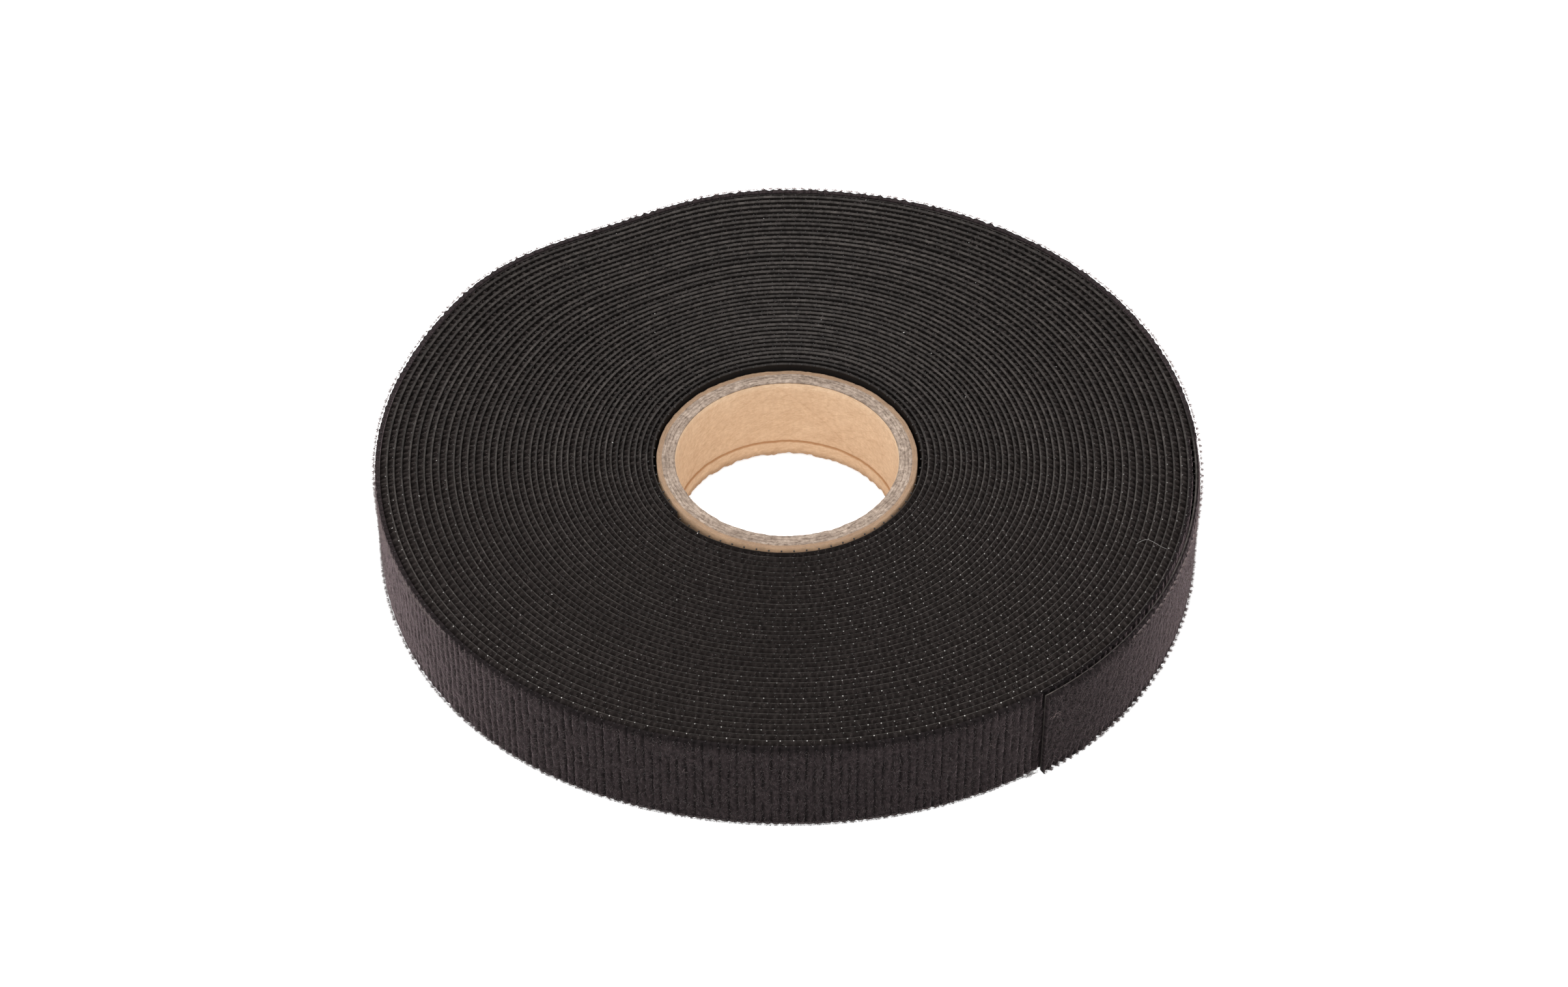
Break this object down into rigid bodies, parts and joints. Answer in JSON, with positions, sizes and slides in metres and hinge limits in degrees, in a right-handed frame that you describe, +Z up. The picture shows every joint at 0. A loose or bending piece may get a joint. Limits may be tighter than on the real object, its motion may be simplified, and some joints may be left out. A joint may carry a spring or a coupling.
{
  "type": "hook and loop tape roll",
  "caption": "Roll of back-to-back hook and loop tape wound on a cardboard core, lying on its side, with a free end that peels off the roll",
  "frame": {"origin": "in the middle of the roll's outline, in the plane the roll lies on", "axes": "+Z up along the bore, +X to the right of the picture, -Y towards its camera"},
  "size_m": [0.1214, 0.118, 0.016],
  "materials": {
    "kraft_paper": "brown kraft paper",
    "grey_board": "raw recycled board",
    "wound_tape": "black tape, seen on its edges",
    "hook_web": "black moulded hooks on a thin film",
    "loop_web": "black brushed knit loop pile"
  },
  "bodies": {
    "roll": {"core_inner_liner": "kraft_paper", "core_board_ply_1": "grey_board", "core_board_ply_2": "grey_board", "core_board_ply_3": "grey_board", "core_outer_ply_1": "kraft_paper", "core_outer_ply_2": "kraft_paper", "inner_turns": "wound_tape", "wound_hook_web": "hook_web", "wound_loop_web": "loop_web"},
    "tail_length_1": {"tail_1_hook_web": "hook_web", "tail_1_loop_web": "loop_web"},
    "tail_length_2": {"tail_2_hook_web": "hook_web", "tail_2_loop_web": "loop_web"},
    "tail_length_3": {"tail_3_hook_web": "hook_web", "tail_3_loop_web": "loop_web"},
    "tail_length_4": {"tail_4_hook_web": "hook_web", "tail_4_loop_web": "loop_web"},
    "tail_length_5": {"tail_5_hook_web": "hook_web", "tail_5_loop_web": "loop_web"},
    "tail_length_6": {"tail_6_hook_web": "hook_web", "tail_6_loop_web": "loop_web"},
    "tail_length_7": {"tail_7_hook_web": "hook_web", "tail_7_loop_web": "loop_web"},
    "tail_length_8": {"tail_8_hook_web": "hook_web", "tail_8_loop_web": "loop_web"}
  },
  "joints": [
    {"name": "tail_peel", "type": "hinge", "parent": "roll", "child": "tail_length_1", "pos_m": [0.06101, 0.00243, 0.008], "axis": [0, 0, 1], "range_deg": [0, 22.5]},
    {"name": "tail_bend_2", "type": "hinge", "parent": "tail_length_1", "child": "tail_length_2", "pos_m": [0.06094, -0.00507, 0.008], "axis": [0, 0, 1], "range_deg": [0, 22.5]},
    {"name": "tail_bend_3", "type": "hinge", "parent": "tail_length_2", "child": "tail_length_3", "pos_m": [0.06001, -0.01252, 0.008], "axis": [0, 0, 1], "range_deg": [0, 22.5]},
    {"name": "tail_bend_4", "type": "hinge", "parent": "tail_length_3", "child": "tail_length_4", "pos_m": [0.0582, -0.0198, 0.008], "axis": [0, 0, 1], "range_deg": [0, 22.5]},
    {"name": "tail_bend_5", "type": "hinge", "parent": "tail_length_4", "child": "tail_length_5", "pos_m": [0.0555, -0.0268, 0.008], "axis": [0, 0, 1], "range_deg": [0, 22.5]},
    {"name": "tail_bend_6", "type": "hinge", "parent": "tail_length_5", "child": "tail_length_6", "pos_m": [0.05193, -0.03341, 0.008], "axis": [0, 0, 1], "range_deg": [0, 22.5]},
    {"name": "tail_bend_7", "type": "hinge", "parent": "tail_length_6", "child": "tail_length_7", "pos_m": [0.0475, -0.03946, 0.008], "axis": [0, 0, 1], "range_deg": [0, 22.5]},
    {"name": "tail_bend_8", "type": "hinge", "parent": "tail_length_7", "child": "tail_length_8", "pos_m": [0.04229, -0.04484, 0.008], "axis": [0, 0, 1], "range_deg": [0, 22.5]}
  ],
  "couplings": [
    {"joint": "tail_bend_2", "follows": "tail_peel", "ratio": 1},
    {"joint": "tail_bend_3", "follows": "tail_peel", "ratio": 1},
    {"joint": "tail_bend_4", "follows": "tail_peel", "ratio": 1},
    {"joint": "tail_bend_5", "follows": "tail_peel", "ratio": 1},
    {"joint": "tail_bend_6", "follows": "tail_peel", "ratio": 1},
    {"joint": "tail_bend_7", "follows": "tail_peel", "ratio": 1},
    {"joint": "tail_bend_8", "follows": "tail_peel", "ratio": 1}
  ]
}
